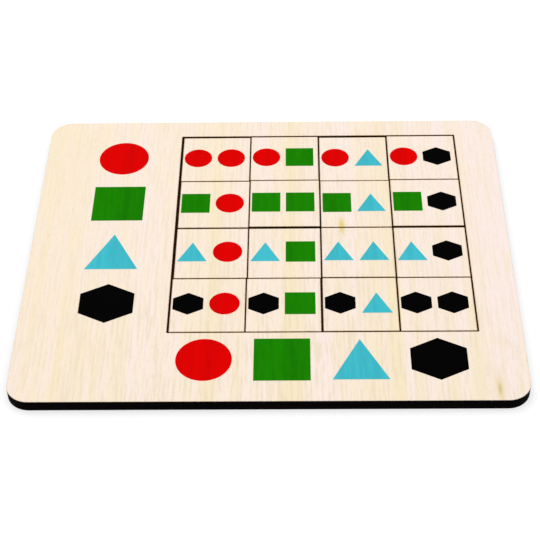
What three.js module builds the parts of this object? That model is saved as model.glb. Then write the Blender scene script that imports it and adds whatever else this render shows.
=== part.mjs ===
// A wooden matching puzzle: loose printed tiles fill a square window in a flat board. Each tile shows the
// shape of its row beside the shape of its column, and the board repeats those shapes along two sides.
// Millimetres, +Z up, +X to the right, +Y away from the player. The origin is the middle of the underside.
import * as THREE from "three";

// The printed shapes, in their order down the rows and across the columns
const SHAPES = ["circle", "square", "triangle", "hexagon"];
const INK_COLOURS = { circle: 0xdd0505, square: 0x1a7d03, triangle: 0x42bcce, hexagon: 0x060606 };
const FACE_WOOD_COLOUR = 0xfbecd6;
const BASE_WOOD_COLOUR = 0x4a3423;

// Sheets that the pieces are cut from
const BASE_THICKNESS = 3.2;
const SHEET_THICKNESS = 3.2;
const CORNER_RADIUS = 12;
const EDGE_EASE = 0.2;

// Tiles, and the play that lets a finger tip one out of the window
const TILE_SIDE = 38.9;
const TILE_PLAY = 0.88;

// The loose tiles lie unevenly: for each row its gaps, counted from the left, and for each column its gaps,
// counted from the back, that are this many times as wide as the others there
const UNEVEN_ROW_GAPS = [
  { 0: 1.65, 1: 0.8 },
  { 0: 2.1, 1: 0.8 },
  { 0: 2, 1: 0.8 },
  { 0: 1.35, 1: 0.8, 2: 1.4 },
];
const UNEVEN_COLUMN_GAPS = [
  { 0: 2.4, 2: 1.6 },
  { 0: 1.7, 2: 3 },
  { 0: 2.4, 1: 0.6 },
  { 0: 1.6, 2: 2.6 },
];

// Plain wood on the board, around the window and around the marks beside it
const BACK_MARGIN = 13.5;
const RIGHT_MARGIN = 22.4;
const ROW_MARK_BORDER = 30.5;
const ROW_MARK_GAP = 18.5;
const COLUMN_MARK_BORDER = 13.4;
const COLUMN_MARK_GAP = 4.5;

// Print: the sheet is printed before it is cut, so its cells are one tile and one cut apart
const INK_THICKNESS = 0.06;
const CUT_WIDTH = 0.6;
const MARK_SPACING = 10.9;
const SYMBOL_GAP = 3.1;
const SYMBOL_BORDER = 1.9;
const PRINT_SHIFT = 0.9;
const TRIANGLE_SHORTFALL = 1.2;

// Facets in a quarter turn of each round edge
const CORNER_FACETS = 10;
const MARK_FACETS = 12;
const SYMBOL_FACETS = 8;

// Sizes that follow from the values above
const count = SHAPES.length;
const windowPlay = (count + 1) * TILE_PLAY;
const windowSide = count * TILE_SIDE + windowPlay;
const printPitch = TILE_SIDE + CUT_WIDTH;
const markSize = printPitch - MARK_SPACING;
const symbolSize = (TILE_SIDE - SYMBOL_GAP) / 2 - SYMBOL_BORDER;
const symbolPitch = symbolSize + SYMBOL_GAP;
const leftMargin = ROW_MARK_BORDER + markSize + ROW_MARK_GAP;
const frontMargin = COLUMN_MARK_BORDER + markSize + COLUMN_MARK_GAP;
const boardWidth = leftMargin + windowSide + RIGHT_MARGIN;
const boardDepth = frontMargin + windowSide + BACK_MARGIN;
const windowCentre = new THREE.Vector2((leftMargin - RIGHT_MARGIN) / 2, (frontMargin - BACK_MARGIN) / 2);
const windowLeft = windowCentre.x - windowSide / 2;
const windowBack = windowCentre.y + windowSide / 2;
const printFace = BASE_THICKNESS + SHEET_THICKNESS;

// Materials
const wood = (color) => new THREE.MeshStandardMaterial({ color, roughness: 0.62, metalness: 0 });
const ink = (color) => new THREE.MeshStandardMaterial({ color, roughness: 0.42, metalness: 0 });
const faceWood = wood(FACE_WOOD_COLOUR);
const baseWood = wood(BASE_WOOD_COLOUR);
const inks = Object.fromEntries(SHAPES.map((shape) => [shape, ink(INK_COLOURS[shape])]));

// Outlines, each with its middle at the origin
function polygon(corners) {
  return new THREE.Shape(corners.map(([x, y]) => new THREE.Vector2(x, y)));
}

function square(side) {
  const half = side / 2;
  return polygon([[-half, -half], [half, -half], [half, half], [-half, half]]);
}

function circle(diameter) {
  return new THREE.Shape().absarc(0, 0, diameter / 2, 0, 2 * Math.PI);
}

function triangle(base) {
  const height = base - TRIANGLE_SHORTFALL;
  return polygon([[-base / 2, -height / 2], [base / 2, -height / 2], [0, height / 2]]);
}

// A hexagon standing on a point, as wide as it is high, with upright sides of half its height
function hexagon(size) {
  const half = size / 2;
  const quarter = size / 4;
  const right = [[0, -half], [half, -quarter], [half, quarter]];
  const left = [[0, half], [-half, quarter], [-half, -quarter]];
  return polygon([...right, ...left]);
}

function roundedBoard() {
  const x = boardWidth / 2 - CORNER_RADIUS;
  const y = boardDepth / 2 - CORNER_RADIUS;
  const shape = new THREE.Shape();
  [[x, y], [-x, y], [-x, -y], [x, -y]].forEach(([cx, cy], corner) => {
    const start = (corner * Math.PI) / 2;
    shape.absarc(cx, cy, CORNER_RADIUS, start, start + Math.PI / 2);
  });
  return shape;
}

const outlines = { circle, square, triangle, hexagon };

// A piece cut from a sheet, with its sharp edges broken by light sanding
function cutSheet(shape, thickness) {
  const geometry = new THREE.ExtrudeGeometry(shape, {
    depth: thickness - 2 * EDGE_EASE,
    curveSegments: CORNER_FACETS / 2,
    bevelThickness: EDGE_EASE,
    bevelSize: EDGE_EASE,
    bevelOffset: -EDGE_EASE,
    bevelSegments: 1,
  });
  return geometry.translate(0, 0, EDGE_EASE);
}

// A printed shape: a thin film of ink that lies on the face of its sheet
function inkFilm(shape, size, facets) {
  return new THREE.ExtrudeGeometry(outlines[shape](size), {
    depth: INK_THICKNESS,
    curveSegments: 2 * facets,
    bevelEnabled: false,
  });
}

function place(group, name, geometry, material, x, y, z) {
  const mesh = new THREE.Mesh(geometry, material);
  mesh.name = name;
  mesh.position.set(x, y, z);
  group.add(mesh);
}

// Distance from the window's edge to the near side of a tile: the tiles and the gaps before it
function tileStart(index, unevenGaps) {
  const widths = Array.from({ length: count + 1 }, (_, gap) => unevenGaps[gap] ?? 1);
  const sum = (list) => list.reduce((total, width) => total + width, 0);
  const passed = sum(widths.slice(0, index + 1)) / sum(widths);
  return index * TILE_SIDE + windowPlay * passed;
}

// The tray: a base with the window's frame glued on it
function makeTray() {
  const tray = new THREE.Group();
  const frame = roundedBoard();
  const opening = square(windowSide).getPoints().map((corner) => corner.add(windowCentre));
  frame.holes.push(new THREE.Path(opening));
  place(tray, "base_board", cutSheet(roundedBoard(), BASE_THICKNESS), baseWood, 0, 0, 0);
  place(tray, "frame_board", cutSheet(frame, SHEET_THICKNESS), faceWood, 0, 0, BASE_THICKNESS);
  return tray;
}

// The marks: one shape for each row, left of the window, and one for each column, in front of it
function makeMarks() {
  const marks = new THREE.Group();
  const rowX = windowLeft - ROW_MARK_GAP - markSize / 2;
  const columnY = windowBack - windowSide - COLUMN_MARK_GAP - markSize / 2;
  SHAPES.forEach((shape, index) => {
    const step = (index - (count - 1) / 2) * printPitch;
    const rowY = windowCentre.y + PRINT_SHIFT - step;
    const columnX = windowCentre.x - PRINT_SHIFT + step;
    const film = () => inkFilm(shape, markSize, MARK_FACETS);
    place(marks, `ink_row_${shape}`, film(), inks[shape], rowX, rowY, printFace);
    place(marks, `ink_column_${shape}`, film(), inks[shape], columnX, columnY, printFace);
  });
  return marks;
}

// A loose tile, with its row's shape on the left and its column's shape on the right
function makeTile(row, column) {
  const tile = new THREE.Group();
  const pair = `${SHAPES[row]}_${SHAPES[column]}`;
  const x = windowLeft + tileStart(column, UNEVEN_ROW_GAPS[row]) + TILE_SIDE / 2;
  const y = windowBack - tileStart(row, UNEVEN_COLUMN_GAPS[column]) - TILE_SIDE / 2;
  tile.position.set(x, y, BASE_THICKNESS);
  place(tile, `tile_${pair}`, cutSheet(square(TILE_SIDE), SHEET_THICKNESS), faceWood, 0, 0, 0);
  const halves = [["left", SHAPES[row], -1], ["right", SHAPES[column], 1]];
  halves.forEach(([side, shape, direction]) => {
    const film = inkFilm(shape, symbolSize, SYMBOL_FACETS);
    const filmX = (direction * symbolPitch) / 2 - PRINT_SHIFT;
    place(tile, `ink_${pair}_${side}`, film, inks[shape], filmX, PRINT_SHIFT, SHEET_THICKNESS);
  });
  return tile;
}

const puzzle = new THREE.Group();
puzzle.add(makeTray(), makeMarks());
for (let row = 0; row < count; row += 1) {
  for (let column = 0; column < count; column += 1) {
    puzzle.add(makeTile(row, column));
  }
}

export default puzzle;
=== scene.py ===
"""Looks of a wooden matching puzzle: a flat board with a square window that loose printed tiles fill.

Sizes and places are in millimetres here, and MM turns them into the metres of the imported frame.
"""
import math
from collections import namedtuple

import bmesh
import bpy
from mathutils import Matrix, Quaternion, Vector


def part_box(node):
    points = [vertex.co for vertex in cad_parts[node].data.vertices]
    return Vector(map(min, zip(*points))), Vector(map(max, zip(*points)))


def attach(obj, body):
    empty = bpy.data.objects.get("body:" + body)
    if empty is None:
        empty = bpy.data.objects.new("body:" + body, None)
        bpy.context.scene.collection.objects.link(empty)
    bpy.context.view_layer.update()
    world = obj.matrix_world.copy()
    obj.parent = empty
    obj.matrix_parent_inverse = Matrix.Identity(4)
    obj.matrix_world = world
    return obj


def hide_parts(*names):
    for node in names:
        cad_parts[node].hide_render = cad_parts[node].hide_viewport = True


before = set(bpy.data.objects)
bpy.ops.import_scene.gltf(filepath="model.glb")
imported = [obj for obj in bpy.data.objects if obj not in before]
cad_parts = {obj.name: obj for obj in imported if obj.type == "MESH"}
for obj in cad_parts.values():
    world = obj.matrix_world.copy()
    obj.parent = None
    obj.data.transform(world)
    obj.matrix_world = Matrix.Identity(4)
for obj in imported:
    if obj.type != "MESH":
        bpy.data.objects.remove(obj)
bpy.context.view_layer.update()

MM = 0.001
SHAPES = ["circle", "square", "triangle", "hexagon"]

# A cut: its lowest and highest corner, corner radius and steps, side of material, and share of browning
Outline = namedtuple("Outline", "low high radius steps side scorch")

# Noise: width, length and depth of its lumps, its seed, and the number and strength of its finer layers
Noise = namedtuple("Noise", "size seed detail roughness", defaults=(2.0, 0.5))

# A smooth run from low to high while a value goes from start to end
Ramp = namedtuple("Ramp", "start end low high", defaults=(0.0, 1.0))

# An ink: its material's name, its colour and specular level, and how deeply the grain shades it
Ink = namedtuple("Ink", "name colour specular depth")


def srgb(red, green, blue):
    """A colour given in values of 0 to 255 as the linear colour that a shader takes."""
    def linear(value):
        share = value / 255
        if share <= 0.04045:
            return share / 12.92
        return ((share + 0.055) / 1.055) ** 2.4
    return linear(red), linear(green), linear(blue), 1.0


# Cut pieces: corner radii in plan, easing of rims that show and of glued ones, and steps of each round
BOARD_RADIUS = 12.0
WINDOW_RADIUS = 0.2
TILE_RADIUS = 0.35
LEAST_RADIUS = 0.05
RIM_EASE = 0.22
GLUED_EASE = 0.03
RIM_STEPS = 4
BOARD_CORNER_STEPS = 18
SMALL_CORNER_STEPS = 4

# Easing of each kind of piece, below and above
BASE_EASES = (RIM_EASE, GLUED_EASE)
FRAME_EASES = (GLUED_EASE, RIM_EASE)
TILE_EASES = (RIM_EASE, RIM_EASE)

# Which side of a cut its material lies on, and which way the face beside a rim looks
INSIDE, OUTSIDE = 1, -1
UPWARD, DOWNWARD = 1, -1

# How far into the rim a cut's side shows, and how far beyond the rim's round the face is browned
CUT_DEPTH = 0.05
SCORCH_REACH = 0.3

# How burnt the wood is at the inner end of the browning, at the start of the rim's round, and at the cut
SCORCH_LAYER = "scorch"
SCORCH_START = 0.0
SCORCH_RIM = 0.42
SCORCH_CUT = 1.0

# How much of that the board's outer edge shows, and how much the inner cuts show
OUTER_SCORCH = 0.25
INNER_SCORCH = 1.0

# Noise in general: its mean, and how far one seed moves it
NOISE_MEAN = 0.5
SEED_STEPS = (7.3, 3.1, 5.7)

# Grain of the pale wood: it runs from front to back, wanders sideways, and shows through ink too
GRAIN_SWAY = Noise((70, 160, 70), seed=1)
SWAY_WIDTH = 5.0
GRAIN_MARKS = {
    "bands": Noise((6, 300, 30), seed=2, detail=3),
    "streaks": Noise((1.4, 19, 12), seed=3),
    "fibres": Noise((0.45, 8, 3), seed=4, detail=3, roughness=0.6),
}

# Other marks of the pale wood
WOOD_MARKS = {
    "mottle": Noise((16, 42, 20), seed=5),
    "flecks": Noise((0.75, 5.5, 3), seed=6, detail=1),
    "stains": Noise((2.0, 30, 12), seed=7, detail=1),
    "burns": Noise((1.4, 1.4, 1.4), seed=8),
    "breaks": Noise((3.5, 12, 10), seed=17),
    "pores": Noise((0.13, 1.7, 0.8), seed=18, detail=1),
}

# The board's front and right, where the wood differs: where each starts, and where it is in full
FRONT = Ramp(40, -105)
RIGHT = Ramp(40, 130)

# Tone of the wood, warm at 0 and pink at 1: what it starts from, and how much of each mark is added
WOOD_WARM = srgb(251, 234, 200)
WOOD_PINK = srgb(254, 237, 232)
TONE_START = -0.75
TONE_SHARES = {"bands": 1.4, "streaks": 0.8, "mottle": 0.5, "swings": 1.3, "front": -0.1, "right": 0.28}

# Stripes along the grain: middle and half width, and how much pinker each is, or warmer if below zero
TONE_STRIPES = [
    (-118, 24, -0.28),
    (-70, 12, 0.2),
    (-28, 9, -0.3),
    (11, 8, -0.5),
    (36, 13, 0.2),
    (63, 6, -0.36),
    (126, 10, 0.12),
]

# Growth rings: their spacing, how many spacings they wander by with the bands, and where they show
RING_SPACING = 2.7
RING_WANDER = 2.0
RING_SHARES = {"swayed": math.tau / RING_SPACING, "bands": math.tau * RING_WANDER}
RINGS_SHOW = Ramp(0.35, 0.6)

# Streaks of the wood: their colour, what makes them, and where they show
WOOD_STREAK = srgb(239, 223, 190)
STREAK_START = 0.125
STREAK_SHARES = {"streaks": 0.5, "fibres": 0.25, "rings": 0.055}
STREAKS_SHOW = Ramp(0.45, 0.62)

# How strongly the streaks show, how much more at the front, and how widely they fade to both sides
STREAK_STRENGTH = 0.62
STREAK_FRONT = 0.33
STREAK_MIDDLE = 0.0
STREAK_HALF_WIDTH = 170

# Small marks of the wood, one over the other: where each shows and how strongly, and its colour
SMALL_MARKS = {
    "flecks": (Ramp(0.67, 0.77, high=0.4), srgb(230, 209, 170)),
    "stains": (Ramp(0.6, 0.74, high=0.35), srgb(243, 230, 186)),
    "pores": (Ramp(0.58, 0.74, high=0.4), srgb(222, 200, 160)),
}

# Mineral streaks, broken up by the fibres: middle and half size of each, its colour and its strength
MINERAL_GOLD = srgb(230, 207, 118)
MINERAL_OLIVE = srgb(194, 170, 112)
MINERAL_STREAKS = [
    ((39.4, 17.6), (1.6, 6.4), MINERAL_GOLD, 1.1),
    ((114.7, -102.6), (2.3, 11.5), MINERAL_GOLD, 0.6),
    ((114.3, -102.8), (0.9, 3.6), MINERAL_OLIVE, 0.6),
]
MINERALS_SHOW = Ramp(0.3, 0.55, low=0.7)

# Browning of the wood beside its cuts
SCORCH_BROWN = srgb(172, 120, 38)
SCORCH_SHOWS = Ramp(0.3, 0.6, low=0.55)

# Finish of the wood: its gloss, and what its relief is made of and how deep it is
WOOD_SPECULAR = 0.22
WOOD_GLOSS_SHARES = {"streaks": 0.5, "fibres": 0.5}
WOOD_ROUGHNESS = Ramp(0.35, 0.65, low=0.46, high=0.6)
WOOD_HEIGHTS = {"fibres": 0.6, "streaks": 0.25, "flecks": -0.3, "pores": -0.4}
WOOD_RELIEF = 0.03

# Print: the ink of each shape
INKS = {
    "circle": Ink("red_ink", srgb(221, 1, 1), specular=0.008, depth=0.08),
    "square": Ink("green_ink", srgb(25, 126, 1), specular=0.008, depth=0.13),
    "triangle": Ink("blue_ink", srgb(63, 188, 203), specular=0.05, depth=0.08),
    "hexagon": Ink("black_ink", srgb(2, 2, 2), specular=0.006, depth=0.15),
}

# Marks of the ink, and how they shade it together with the grain
INK_MARKS = {
    "mottle": Noise((3.0, 3.4, 3.0), seed=9),
    "speckle": Noise((0.3, 0.34, 0.3), seed=10, detail=1),
}
INK_SHARES = {"bands": 0.45, "streaks": 0.3, "fibres": 0.15, "mottle": 0.1}
INK_SHADE = Ramp(0.36, 0.64)

# Thin places in the ink: what makes them, where they show, and how many depths lighter they are
THIN_SHARES = {"speckle": 0.6, "fibres": 0.4}
THIN_SHOWS = Ramp(0.64, 0.76, high=0.22)
THIN_DEPTHS = 3

# Finish of the ink
INK_ROUGHNESS = Ramp(0.36, 0.64, low=0.42, high=0.56)
INK_HEIGHTS = {"fibres": 0.5, "speckle": 0.3, "streaks": 0.2}
INK_RELIEF = 0.02

# Cut sides, black outside and charred inside: their marks, how these shade them, and their finish
PAINT_DARK = srgb(2, 1, 2)
PAINT_WORN = srgb(14, 9, 7)
PAINT_SPECULAR = 0.015
CHAR_DARK = srgb(38, 22, 3)
CHAR_BROWN = srgb(92, 56, 12)
CHAR_SPECULAR = 0.03
CUT_MARKS = {
    "lines": Noise((0.34, 0.34, 9), seed=11),
    "soot": Noise((5, 5, 1.6), seed=12, detail=3),
    "layers": Noise((40, 40, 0.5), seed=13, detail=1),
}
CUT_SHARES = {"lines": 0.35, "soot": 0.4, "layers": 0.25}
CUT_SHADE = Ramp(0.44, 0.66)
CUT_ROUGHNESS = Ramp(0.35, 0.65, low=0.6, high=0.8)
CUT_HEIGHTS = {"lines": 0.8, "soot": 0.2}
CUT_RELIEF = 0.06

# Hardboard: its marks, how these shade it, and its finish
HARDBOARD_DARK = srgb(44, 25, 7)
HARDBOARD_BROWN = srgb(70, 42, 13)
HARDBOARD_LIGHT = srgb(102, 68, 30)
HARDBOARD_MARKS = {
    "pulp": Noise((2.4, 2.4, 2.4), seed=14, detail=4, roughness=0.6),
    "fibres": Noise((0.5, 0.5, 0.5), seed=15, detail=3, roughness=0.65),
    "clouds": Noise((26, 26, 26), seed=16),
}
HARDBOARD_SHARES = {"pulp": 0.5, "clouds": 0.5}
HARDBOARD_SHADE = Ramp(0.4, 0.6)
HARDBOARD_FIBRES_SHOW = Ramp(0.56, 0.72, high=0.6)
HARDBOARD_SPECULAR = 0.06
HARDBOARD_ROUGHNESS = Ramp(0.35, 0.65, low=0.5, high=0.68)
HARDBOARD_HEIGHTS = {"pulp": 0.4, "fibres": 0.6}
HARDBOARD_RELIEF = 0.05

# Camera, fitted to the printed shapes of the photograph
CAMERA_PLACE = (14.70, -587.32, 554.41)
CAMERA_AIM = (0.34, -17.46, 6.4)
CAMERA_ROLL = -1.336
CAMERA_LENS = 98.63
CAMERA_SENSOR = 36.0

# Background: the rays that see it white, and the surroundings' strength for other rays and for these
BACKGROUND_RAYS = ["Is Camera Ray", "Is Glossy Ray", "Is Transmission Ray"]
WHITE = (1.0, 1.0, 1.0, 1.0)
SKY_STRENGTH = Ramp(0.0, 1.0, low=0.666, high=1.0)

# Lamps: place, size and power in watts
LAMPS = {
    "key": ((-300, 480, 1250), 900, 5.72),
    "fill": ((700, -300, 1200), 1100, 2.53),
}

# Floor: its size, how far it lies below the board, its colour and gloss, and its glow as a background
FLOOR_SIZE = 9000
FLOOR_DROP = 0.05
FLOOR_COLOUR = (0.5, 0.5, 0.5, 1.0)
FLOOR_ROUGHNESS = 0.9
FLOOR_SPECULAR = 0.0
FLOOR_GLOW = 0.58

# Sockets of a Mix node that blends colours
MIX_SHARE, MIX_FIRST, MIX_SECOND = 0, 6, 7
MIX_COLOUR = 2


class Nodes:
    """Short calls that add nodes to a tree. Most of them give an output socket."""

    def __init__(self, tree):
        self.tree = tree

    def node(self, kind, **settings):
        """A new node with these settings."""
        made = self.tree.nodes.new(kind)
        for name, value in settings.items():
            setattr(made, name, value)
        return made

    def feed(self, socket, value):
        """Links an output socket to an input socket, or sets a plain value on it."""
        if isinstance(value, bpy.types.NodeSocket):
            self.tree.links.new(value, socket)
        else:
            socket.default_value = value

    def math(self, operation, *values):
        """One operation on sockets or plain numbers."""
        made = self.node("ShaderNodeMath", operation=operation)
        for socket, value in zip(made.inputs, values):
            self.feed(socket, value)
        return made.outputs[0]

    def product(self, *factors):
        """All the factors multiplied, in their order."""
        result = factors[0]
        for factor in factors[1:]:
            result = self.math("MULTIPLY", result, factor)
        return result

    def ramp(self, value, ramp):
        """The ramp's outcome for the value."""
        made = self.node("ShaderNodeMapRange", interpolation_type="SMOOTHSTEP")
        for socket, entry in zip(made.inputs, (value, *ramp)):
            self.feed(socket, entry)
        return made.outputs[0]

    def background(self):
        """1 for the rays that see the background white, 0 for the other rays."""
        path = self.node("ShaderNodeLightPath")
        result = path.outputs[BACKGROUND_RAYS[0]]
        for ray in BACKGROUND_RAYS[1:]:
            result = self.math("MAXIMUM", result, path.outputs[ray])
        return result


class Recipe(Nodes):
    """A new material, with short calls for its marks and colours."""

    def __init__(self, name):
        self.material = bpy.data.materials.new(name)
        self.material.use_nodes = True
        super().__init__(self.material.node_tree)
        self.tree.nodes.clear()
        self.place = self.node("ShaderNodeTexCoord").outputs["Object"]
        self.shader = self.node("ShaderNodeBsdfPrincipled")

    def axes(self):
        """The place's X and Y in millimetres."""
        parts = self.node("ShaderNodeSeparateXYZ")
        self.feed(parts.inputs[0], self.place)
        return [self.math("DIVIDE", parts.outputs[axis], MM) for axis in (0, 1)]

    def noise(self, noise):
        """The noise at the place, mostly from 0.3 to 0.7."""
        spread = self.node("ShaderNodeVectorMath", operation="MULTIPLY_ADD")
        self.feed(spread.inputs[0], self.place)
        spread.inputs[1].default_value = [1 / (length * MM) for length in noise.size]
        spread.inputs[2].default_value = [noise.seed * step for step in SEED_STEPS]
        made = self.node("ShaderNodeTexNoise")
        self.feed(made.inputs["Vector"], spread.outputs[0])
        made.inputs["Scale"].default_value = 1.0
        made.inputs["Detail"].default_value = noise.detail
        made.inputs["Roughness"].default_value = noise.roughness
        return made.outputs["Fac"]

    def marks(self, noises):
        """A socket for each named noise."""
        return {name: self.noise(noise) for name, noise in noises.items()}

    def blend(self, marks, shares, start=0.0):
        """The start, with each named mark times its share added to it."""
        result = start
        for name, share in shares.items():
            result = self.math("MULTIPLY_ADD", marks[name], share, result)
        return result

    def hump(self, value, middle, half_width):
        """1 where the value is at the middle, falling off softly to both sides."""
        offset = self.math("DIVIDE", self.math("SUBTRACT", value, middle), half_width)
        return self.math("EXPONENT", self.product(offset, offset, -1.0))

    def mix(self, share, first, second):
        """A blend of two colours, all of the second where the share is 1."""
        made = self.node("ShaderNodeMix", data_type="RGBA")
        self.feed(made.inputs[MIX_SHARE], share)
        self.feed(made.inputs[MIX_FIRST], first)
        self.feed(made.inputs[MIX_SECOND], second)
        return made.outputs[MIX_COLOUR]

    def sway(self, noise, width):
        """Lets the place wander sideways within the width, for all the noise that follows."""
        wander = self.math("MULTIPLY_ADD", self.noise(noise), width * MM, -width * MM * NOISE_MEAN)
        offset = self.node("ShaderNodeCombineXYZ")
        self.feed(offset.inputs[0], wander)
        moved = self.node("ShaderNodeVectorMath", operation="ADD")
        self.feed(moved.inputs[0], self.place)
        self.feed(moved.inputs[1], offset.outputs[0])
        self.place = moved.outputs[0]

    def finish(self, colour, roughness, specular, height=None, relief=0.0):
        """Ends the material in its shader, with this colour and gloss, and a relief in millimetres."""
        self.feed(self.shader.inputs["Base Color"], colour)
        self.feed(self.shader.inputs["Roughness"], roughness)
        self.shader.inputs["Specular IOR Level"].default_value = specular
        if height is not None:
            bump = self.node("ShaderNodeBump")
            bump.inputs["Distance"].default_value = relief * MM
            self.feed(bump.inputs["Height"], height)
            self.feed(self.shader.inputs["Normal"], bump.outputs["Normal"])
        output = self.node("ShaderNodeOutputMaterial")
        self.feed(output.inputs["Surface"], self.shader.outputs["BSDF"])
        return self.material


def grain_of(recipe):
    """The marks of the pale wood's grain, swaying from side to side."""
    recipe.sway(GRAIN_SWAY, SWAY_WIDTH)
    return recipe.marks(GRAIN_MARKS)


def face_wood():
    """Pale close-grained wood, sanded and unpolished, browned along its cuts."""
    recipe = Recipe("pale_wood")
    across, along = recipe.axes()
    marks = grain_of(recipe) | recipe.marks(WOOD_MARKS)
    marks["swayed"], _ = recipe.axes()
    marks["front"] = recipe.ramp(along, FRONT)
    marks["right"] = recipe.ramp(across, RIGHT)

    # Tone, from warm to pink, with bands that differ more at the front
    uneven = recipe.math("SUBTRACT", marks["bands"], NOISE_MEAN)
    marks["swings"] = recipe.product(uneven, marks["front"])
    tone = recipe.blend(marks, TONE_SHARES, TONE_START)
    for middle, half_width, pinker in TONE_STRIPES:
        stripe = recipe.hump(marks["swayed"], middle, half_width)
        tone = recipe.math("MULTIPLY_ADD", stripe, pinker, tone)
    colour = recipe.mix(tone, WOOD_WARM, WOOD_PINK)

    # Streaks, with growth rings that come and go
    rings = recipe.math("SINE", recipe.blend(marks, RING_SHARES))
    marks["rings"] = recipe.product(rings, recipe.ramp(marks["breaks"], RINGS_SHOW))
    streaks = recipe.ramp(recipe.blend(marks, STREAK_SHARES, STREAK_START), STREAKS_SHOW)
    strength = recipe.math("MULTIPLY_ADD", marks["front"], STREAK_FRONT, STREAK_STRENGTH)
    strength = recipe.product(strength, recipe.hump(across, STREAK_MIDDLE, STREAK_HALF_WIDTH))
    colour = recipe.mix(recipe.product(streaks, strength), colour, WOOD_STREAK)

    # Small marks and mineral streaks
    for name, (shows, shade) in SMALL_MARKS.items():
        colour = recipe.mix(recipe.ramp(marks[name], shows), colour, shade)
    broken = recipe.ramp(marks["fibres"], MINERALS_SHOW)
    for (x, y), (half_width, half_length), mineral, amount in MINERAL_STREAKS:
        sideways = recipe.hump(across, x, half_width)
        lengthways = recipe.hump(along, y, half_length)
        colour = recipe.mix(recipe.product(sideways, lengthways, amount, broken), colour, mineral)

    # Browning beside the cuts, uneven along them
    scorch = recipe.node("ShaderNodeAttribute", attribute_name=SCORCH_LAYER).outputs["Fac"]
    browning = recipe.product(scorch, recipe.ramp(marks["burns"], SCORCH_SHOWS))
    colour = recipe.mix(browning, colour, SCORCH_BROWN)

    roughness = recipe.ramp(recipe.blend(marks, WOOD_GLOSS_SHARES), WOOD_ROUGHNESS)
    height = recipe.blend(marks, WOOD_HEIGHTS)
    return recipe.finish(colour, roughness, WOOD_SPECULAR, height, WOOD_RELIEF)


def scaled(colour, factor):
    """A colour made darker or lighter."""
    return tuple(channel * factor for channel in colour[:3]) + (1.0,)


def print_of(ink):
    """A flat print that lets the grain of the wood show faintly."""
    recipe = Recipe(ink.name)
    marks = grain_of(recipe) | recipe.marks(INK_MARKS)
    grain = recipe.blend(marks, INK_SHARES)
    dark = scaled(ink.colour, 1 - ink.depth)
    light = scaled(ink.colour, 1 + ink.depth)
    colour = recipe.mix(recipe.ramp(grain, INK_SHADE), dark, light)
    thin = recipe.ramp(recipe.blend(marks, THIN_SHARES), THIN_SHOWS)
    colour = recipe.mix(thin, colour, scaled(ink.colour, 1 + THIN_DEPTHS * ink.depth))
    roughness = recipe.ramp(grain, INK_ROUGHNESS)
    height = recipe.blend(marks, INK_HEIGHTS)
    return recipe.finish(colour, roughness, ink.specular, height, INK_RELIEF)


def cut_edge(name, dark, light, specular):
    """The cut side of a sheet, with the upright lines that the cutting beam leaves and uneven soot."""
    recipe = Recipe(name)
    marks = recipe.marks(CUT_MARKS)
    shade = recipe.ramp(recipe.blend(marks, CUT_SHARES), CUT_SHADE)
    colour = recipe.mix(shade, dark, light)
    roughness = recipe.ramp(marks["soot"], CUT_ROUGHNESS)
    height = recipe.blend(marks, CUT_HEIGHTS)
    return recipe.finish(colour, roughness, specular, height, CUT_RELIEF)


def hardboard():
    """Dark brown pressed fibre, the base of the board and the floor of the window."""
    recipe = Recipe("brown_hardboard")
    marks = recipe.marks(HARDBOARD_MARKS)
    shade = recipe.ramp(recipe.blend(marks, HARDBOARD_SHARES), HARDBOARD_SHADE)
    colour = recipe.mix(shade, HARDBOARD_DARK, HARDBOARD_BROWN)
    fibres = recipe.ramp(marks["fibres"], HARDBOARD_FIBRES_SHOW)
    colour = recipe.mix(fibres, colour, HARDBOARD_LIGHT)
    roughness = recipe.ramp(marks["pulp"], HARDBOARD_ROUGHNESS)
    height = recipe.blend(marks, HARDBOARD_HEIGHTS)
    return recipe.finish(colour, roughness, HARDBOARD_SPECULAR, height, HARDBOARD_RELIEF)


def flat_box(node):
    """A CAD node's lowest and highest corners in millimetres."""
    return [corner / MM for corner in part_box(node)]


def window_corners():
    """The window's lowest and highest corner, from the frame's points on the window's upright sides."""
    low, high = flat_box("frame_board")
    inner = []
    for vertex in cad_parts["frame_board"].data.vertices:
        x, y, z = vertex.co / MM
        inside = min(x - low[0], high[0] - x, y - low[1], high[1] - y) > BOARD_RADIUS
        upright = min(z - low[2], high[2] - z) > GLUED_EASE
        if inside and upright:
            inner.append((x, y))
    columns, rows = zip(*inner)
    return (min(columns), min(rows)), (max(columns), max(rows))


def ring_points(outline, inset):
    """Points round a rectangle with round corners, moved by the inset into its material."""
    move = inset * outline.side
    bend = max(outline.radius - move, LEAST_RADIUS)
    left, right = outline.low[0] + move + bend, outline.high[0] - move - bend
    front, back = outline.low[1] + move + bend, outline.high[1] - move - bend
    points = []
    for quarter, (x, y) in enumerate([(right, back), (left, back), (left, front), (right, front)]):
        for step in range(outline.steps + 1):
            angle = (quarter + step / outline.steps) * math.pi / 2
            points.append((x + bend * math.cos(angle), y + bend * math.sin(angle)))
    return points


def rim_rings(height, ease, facing):
    """Rings of a rounded rim, from the flat face to the upright side: inset, height and burn of each."""
    rings = [(ease + SCORCH_REACH, height, SCORCH_START)]
    for step in range(RIM_STEPS + 1):
        angle = step / RIM_STEPS * math.pi / 2
        inset = ease * (1 - math.sin(angle))
        level = height - facing * ease * (1 - math.cos(angle))
        burn = SCORCH_RIM + (SCORCH_CUT - SCORCH_RIM) * step / RIM_STEPS
        rings.append((inset, level, burn))
    return rings


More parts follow.
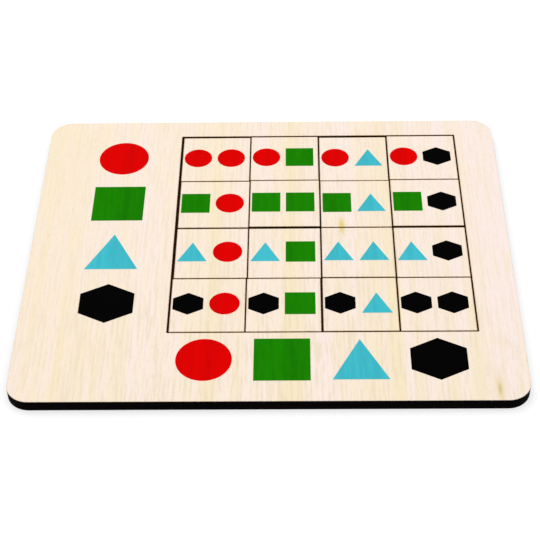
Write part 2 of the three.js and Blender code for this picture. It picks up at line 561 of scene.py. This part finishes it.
def sheet_form(profile, outlines):
    """A closed form that follows the profile, its rings from top to bottom, round each of the outlines.

    Its faces take material 0, and the cut sides of the outlines take 1, 2 and so on.
    """
    form = bmesh.new()
    scorch = form.verts.layers.float.new(SCORCH_LAYER)
    caps = [[], []]
    for side, outline in enumerate(outlines, 1):
        rings = []
        for inset, level, burn in profile:
            points = ring_points(outline, inset)
            ring = [form.verts.new((x * MM, y * MM, level * MM)) for x, y in points]
            for vertex in ring:
                vertex[scorch] = burn * outline.scorch
            rings.append(ring)
        for upper, lower, (inset, _, _) in zip(rings, rings[1:], profile):
            for index in range(len(upper)):
                quad = (upper[index - 1], lower[index - 1], lower[index], upper[index])
                form.faces.new(quad).material_index = side if inset < CUT_DEPTH else 0
        for cap, ring in zip(caps, (rings[0], rings[-1])):
            cap += [form.edges.get((ring[index - 1], ring[index])) for index in range(len(ring))]
    for cap in caps:
        bmesh.ops.triangle_fill(form, edges=cap, use_beauty=True)
    bmesh.ops.recalc_face_normals(form, faces=form.faces)
    for face in form.faces:
        face.smooth = True
    return form


def cut_piece(name, node, outlines, eases, materials):
    """A piece of sheet in the place of a CAD node, its rims rounded below and above by the eases.

    The first material is for its faces, and the others are for the cut sides of its outlines.
    """
    low, high = flat_box(node)
    lower_ease, upper_ease = eases
    top = rim_rings(high[2], upper_ease, UPWARD)
    bottom = rim_rings(low[2], lower_ease, DOWNWARD)
    form = sheet_form(top + bottom[::-1], outlines)
    mesh = bpy.data.meshes.new(name)
    form.to_mesh(mesh)
    form.free()
    for material in materials:
        mesh.materials.append(material)
    piece = bpy.data.objects.new(name, mesh)
    bpy.context.scene.collection.objects.link(piece)
    normals = piece.modifiers.new("even_faces", "WEIGHTED_NORMAL")
    normals.keep_sharp = True
    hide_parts(node)
    return piece


# Materials
wood = face_wood()
black_edge = cut_edge("black_edge", PAINT_DARK, PAINT_WORN, PAINT_SPECULAR)
burnt_edge = cut_edge("burnt_edge", CHAR_DARK, CHAR_BROWN, CHAR_SPECULAR)
brown_board = hardboard()
prints = {shape: print_of(INKS[shape]) for shape in SHAPES}

# The board: a base with the window's frame glued on it
frame_low, frame_high = flat_box("frame_board")
board_outline = Outline(frame_low, frame_high, BOARD_RADIUS, BOARD_CORNER_STEPS, INSIDE, OUTER_SCORCH)
window_outline = Outline(*window_corners(), WINDOW_RADIUS, SMALL_CORNER_STEPS, OUTSIDE, INNER_SCORCH)
base = cut_piece("base_sheet", "base_board", [board_outline], BASE_EASES, [brown_board, black_edge])
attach(base, "tray")
frame_outlines = [board_outline, window_outline]
frame_materials = [wood, black_edge, burnt_edge]
top_sheet = cut_piece("frame_sheet", "frame_board", frame_outlines, FRAME_EASES, frame_materials)
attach(top_sheet, "tray")

# The loose tiles, one for each pair of shapes
for row in SHAPES:
    for column in SHAPES:
        node = f"tile_{row}_{column}"
        low, high = flat_box(node)
        outline = Outline(low, high, TILE_RADIUS, SMALL_CORNER_STEPS, INSIDE, INNER_SCORCH)
        tile = cut_piece(f"loose_{node}", node, [outline], TILE_EASES, [wood, burnt_edge])
        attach(tile, f"piece_{row}_{column}")

# The print: films of ink that the frame holds already, in better materials
for shape in SHAPES:
    films = [f"ink_row_{shape}", f"ink_column_{shape}"]
    films += [f"ink_{shape}_{other}_left" for other in SHAPES]
    films += [f"ink_{other}_{shape}_right" for other in SHAPES]
    for film in films:
        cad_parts[film].material_slots[0].material = prints[shape]


def make_floor():
    """A pale floor that keeps the board's shadow and looks white."""
    half = FLOOR_SIZE * MM / 2
    height = -FLOOR_DROP * MM
    mesh = bpy.data.meshes.new("floor")
    corners = [(x * half, y * half, height) for x, y in [(-1, -1), (1, -1), (1, 1), (-1, 1)]]
    mesh.from_pydata(corners, [], [(0, 1, 2, 3)])
    floor = bpy.data.objects.new("floor", mesh)
    bpy.context.scene.collection.objects.link(floor)
    recipe = Recipe("floor_paper")
    mesh.materials.append(recipe.finish(FLOOR_COLOUR, FLOOR_ROUGHNESS, FLOOR_SPECULAR))
    recipe.shader.inputs["Emission Color"].default_value = WHITE
    glow = recipe.product(recipe.background(), FLOOR_GLOW)
    recipe.feed(recipe.shader.inputs["Emission Strength"], glow)


def make_world():
    """Even white surroundings, dimmer as light than as background."""
    world = bpy.data.worlds.new("studio")
    world.use_nodes = True
    nodes = Nodes(world.node_tree)
    sky = next(node for node in nodes.tree.nodes if node.type == "BACKGROUND")
    sky.inputs["Color"].default_value = WHITE
    nodes.feed(sky.inputs["Strength"], nodes.ramp(nodes.background(), SKY_STRENGTH))
    bpy.context.scene.world = world


def make_lamp(name, place, size, power):
    """A square soft box that faces the board."""
    light = bpy.data.lights.new(name, "AREA")
    light.shape = "SQUARE"
    light.size = size * MM
    light.energy = power
    lamp = bpy.data.objects.new(name, light)
    lamp.location = Vector(place) * MM
    lamp.rotation_euler = (-lamp.location).to_track_quat("-Z", "Y").to_euler()
    bpy.context.scene.collection.objects.link(lamp)


def make_camera():
    """The photograph's view of the board."""
    lens = bpy.data.cameras.new("camera")
    lens.sensor_width = CAMERA_SENSOR
    lens.lens = CAMERA_LENS
    camera = bpy.data.objects.new("camera", lens)
    camera.location = Vector(CAMERA_PLACE) * MM
    aim = Vector(CAMERA_AIM) * MM - camera.location
    turn = aim.to_track_quat("-Z", "Y") @ Quaternion((0, 0, 1), math.radians(CAMERA_ROLL))
    camera.rotation_euler = turn.to_euler()
    bpy.context.scene.collection.objects.link(camera)
    bpy.context.scene.camera = camera


make_floor()
make_world()
for name, (place, size, power) in LAMPS.items():
    make_lamp(name, place, size, power)
make_camera()
bpy.context.scene.view_settings.view_transform = "Standard"
